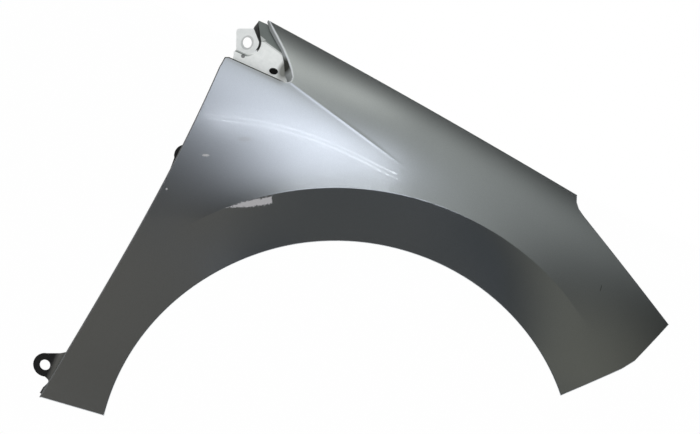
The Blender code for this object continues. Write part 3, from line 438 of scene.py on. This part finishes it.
GRAIN_WIDTH = 0.00111111
GRAIN_DEPTH = 0.0001
rubber, tree = empty_material("dull black rubber")
place = node(tree, "TexCoord").outputs["Object"]
grain = node(tree, "TexNoise", Vector=place, Scale=1 / GRAIN_WIDTH, Detail=2)
uneven = node(tree, "Bump", Height=grain.outputs["Fac"], Strength=0.2, Distance=GRAIN_DEPTH)
black = node(tree, "BsdfPrincipled", Base_Color=linear("#050505"), Roughness=0.8,
             Specular_IOR_Level=0.25, Normal=uneven.outputs[0])
node(tree, "OutputMaterial", Surface=black.outputs[0])
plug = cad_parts["oval_plug"]
plug.data.materials.clear()
plug.data.materials.append(rubber)


# The white room. A pale floor under the part and white all round it. The camera and glossy or
# clear surfaces see both as white, and matt surfaces get a little less light from them.

FLOOR_SIZE = 60
FLOOR_CENTRE = (0.3, 0, -0.95)
FLOOR_WHITE_SHARE = 0.97
ROOM_LIGHT = 0.90


def looked_at(tree):
    """1 for camera, glossy and transmission rays, and 0 for the rest."""
    path = node(tree, "LightPath")
    looked = path.outputs["Is Camera Ray"]
    for ray in ("Is Glossy Ray", "Is Transmission Ray"):
        looked = node(tree, "Math", {"operation": "MAXIMUM"}, _0=looked, _1=path.outputs[ray]).outputs[0]
    return looked


floor_white, tree = empty_material("white floor")
plain = node(tree, "BsdfDiffuse", Color=linear("#f4f4f4"))
share = node(tree, "Math", {"operation": "MULTIPLY"}, _0=looked_at(tree), _1=FLOOR_WHITE_SHARE)
light = node(tree, "Emission", Color=linear("#ffffff"), Strength=1)
mixed = node(tree, "MixShader", _0=share.outputs[0], _1=plain.outputs[0], _2=light.outputs[0])
node(tree, "OutputMaterial", Surface=mixed.outputs[0])
bpy.ops.mesh.primitive_plane_add(size=FLOOR_SIZE, location=FLOOR_CENTRE)
floor = bpy.context.object
floor.name = "floor"
floor.data.materials.append(floor_white)

world = bpy.data.worlds.new("white room")
bpy.context.scene.world = world
world.use_nodes = True
tree = world.node_tree
tree.nodes.clear()
strength = node(tree, "MapRange", _0=looked_at(tree), _1=0, _2=1, _3=ROOM_LIGHT, _4=1)
light = node(tree, "Background", Color=linear("#ffffff"), Strength=strength.outputs[0])
node(tree, "OutputWorld", Surface=light.outputs[0])


# The tent. A dark cloth dome in front of and above the part, with a few soft bright fields,
# so that the paint has something to shade against. Only glossy surfaces see it.

TENT_RADIUS = 4.2
TENT_CENTRE = (0.25, 0, -0.2)
TENT_MIDDLE = Vector((0, -0.86, 0.5)).normalized()
TENT_EDGE = -0.25
tent_cloth, tree = empty_material("dark tent with bright fields")
place = node(tree, "TexCoord").outputs["Object"]
outward = node(tree, "VectorMath", {"operation": "NORMALIZE"}, _0=place)

# Each field has the direction of its middle, how far it reaches from there, its colour and
# its strength.
total = (0, 0, 0)
for direction, reach, colour, strength in (
    ((-0.08, -0.92, 0.38), 0.51, "#eef3ff", 1.40),
    ((-0.51, -0.15, 0.84), 0.62, "#fffff5", 3.2),
    ((0.09, -0.50, 0.86), 1.37, "#fafff9", 0.37),
    ((0.79, -0.59, -0.18), 0.61, "#fffde7", 0.21),
):
    away = node(tree, "VectorMath", {"operation": "DISTANCE"},
                _0=outward.outputs[0], _1=Vector(direction).normalized())
    lobe = node(tree, "MapRange", {"interpolation_type": "SMOOTHERSTEP"},
                _0=away.outputs["Value"], _1=reach, _2=0, _3=0, _4=strength)
    field = node(tree, "VectorMath", {"operation": "SCALE"}, _0=linear(colour)[:3], Scale=lobe.outputs[0])
    total = node(tree, "VectorMath", {"operation": "ADD"}, _0=total, _1=field.outputs[0]).outputs[0]
glow = node(tree, "Emission", Color=total, Strength=1)
node(tree, "OutputMaterial", Surface=glow.outputs[0])
bpy.ops.mesh.primitive_uv_sphere_add(segments=64, ring_count=32, radius=TENT_RADIUS, location=TENT_CENTRE)
tent = bpy.context.object
tent.name = "tent"
tent.data.materials.append(tent_cloth)
dome = bmesh.new()
dome.from_mesh(tent.data)
behind = [face for face in dome.faces
          if face.calc_center_median().normalized().dot(TENT_MIDDLE) < TENT_EDGE]
bmesh.ops.delete(dome, geom=behind, context="FACES")
dome.to_mesh(tent.data)
dome.free()
tent.visible_camera = False
tent.visible_shadow = False
tent.visible_diffuse = False


# The cloth on the floor in front. Dim grey, warmer at its rear end. It shows only mirrored in
# the paint.

CLOTH_SIZE = (8, 4, 1)
CLOTH_CENTRE = (0.3, -2.2, -0.94)
CLOTH_BLEND_SHARE = 0.12
ground_cloth, tree = empty_material("dim cloth on the floor in front")
ahead = node(tree, "SeparateXYZ", Vector=node(tree, "TexCoord").outputs["Object"])
to_front = node(tree, "MapRange", _0=ahead.outputs[0], _1=-CLOTH_BLEND_SHARE, _2=CLOTH_BLEND_SHARE,
                _3=0, _4=1)
dim = node(tree, "Mix", {"data_type": "RGBA"}, _0=to_front.outputs[0],
           _6=linear("#6b6861"), _7=linear("#3f4449"))
glow = node(tree, "Emission", Color=dim.outputs[2], Strength=1)
node(tree, "OutputMaterial", Surface=glow.outputs[0])
bpy.ops.mesh.primitive_plane_add(size=1, location=CLOTH_CENTRE)
cloth = bpy.context.object
cloth.name = "ground_cloth"
cloth.scale = CLOTH_SIZE
cloth.data.materials.append(ground_cloth)
cloth.visible_camera = False
cloth.visible_shadow = False
cloth.visible_diffuse = False


# The strip lamp. Two thin bent glowing tubes side by side, 15 cm in front of the part. They
# show only as a double line mirrored in the lacquer.

TUBE_RADIUS = 0.0003
TUBE_GLOW = 14
tube_light, tree = empty_material("glowing tube")
glow = node(tree, "Emission", Color=linear("#f4f8ff"), Strength=TUBE_GLOW)
node(tree, "OutputMaterial", Surface=glow.outputs[0])
data = bpy.data.curves.new("strip lamp", "CURVE")
data.dimensions = "3D"
data.bevel_depth = TUBE_RADIUS
data.bevel_resolution = 1
data.resolution_u = 24
for start, start_bend, end_bend, end in (
    ((-0.0544, -0.1842, -0.0967), (0.0493, -0.1887, -0.0539),
     (0.1544, -0.1812, -0.0118), (0.2637, -0.1628, 0.0096)),
    ((-0.0514, -0.1853, -0.1034), (0.0547, -0.1914, -0.0650),
     (0.1570, -0.1817, -0.0130), (0.2676, -0.1631, 0.0064)),
):
    spline = data.splines.new("BEZIER")
    spline.bezier_points.add(1)
    first, last = spline.bezier_points
    first.co, first.handle_left, first.handle_right = start, start, start_bend
    last.co, last.handle_left, last.handle_right = end, end_bend, end
data.materials.append(tube_light)
lamp = bpy.data.objects.new("strip_lamp", data)
bpy.context.scene.collection.objects.link(lamp)
lamp.visible_camera = False
lamp.visible_shadow = False


# The camera. It stands 2.6 m in front of the painted face, looks down by 6 degrees, and is
# turned about its own line of sight by 24 degrees, so the fender seems to lean.

CAMERA_PLACE = Vector((0.11859, -2.6288, 0.07399))
LOOK_DOWN = radians(6)
LEAN = radians(24)
SENSOR_WIDTH = 36
FOCAL_PIXELS = 1794.366
IMAGE_PIXELS = 700
camera_data = bpy.data.cameras.new("camera")
camera_data.sensor_width = SENSOR_WIDTH
camera_data.lens = FOCAL_PIXELS / IMAGE_PIXELS * SENSOR_WIDTH
camera = bpy.data.objects.new("camera", camera_data)
bpy.context.scene.collection.objects.link(camera)
right = Vector((cos(LEAN), 0, sin(LEAN)))
up = Vector((-sin(LEAN) * cos(LOOK_DOWN), sin(LOOK_DOWN), cos(LEAN) * cos(LOOK_DOWN)))
turn = Matrix((right, up, right.cross(up))).transposed()
camera.matrix_world = Matrix.Translation(CAMERA_PLACE) @ turn.to_4x4()
bpy.context.scene.camera = camera
bpy.context.scene.view_settings.view_transform = "Standard"
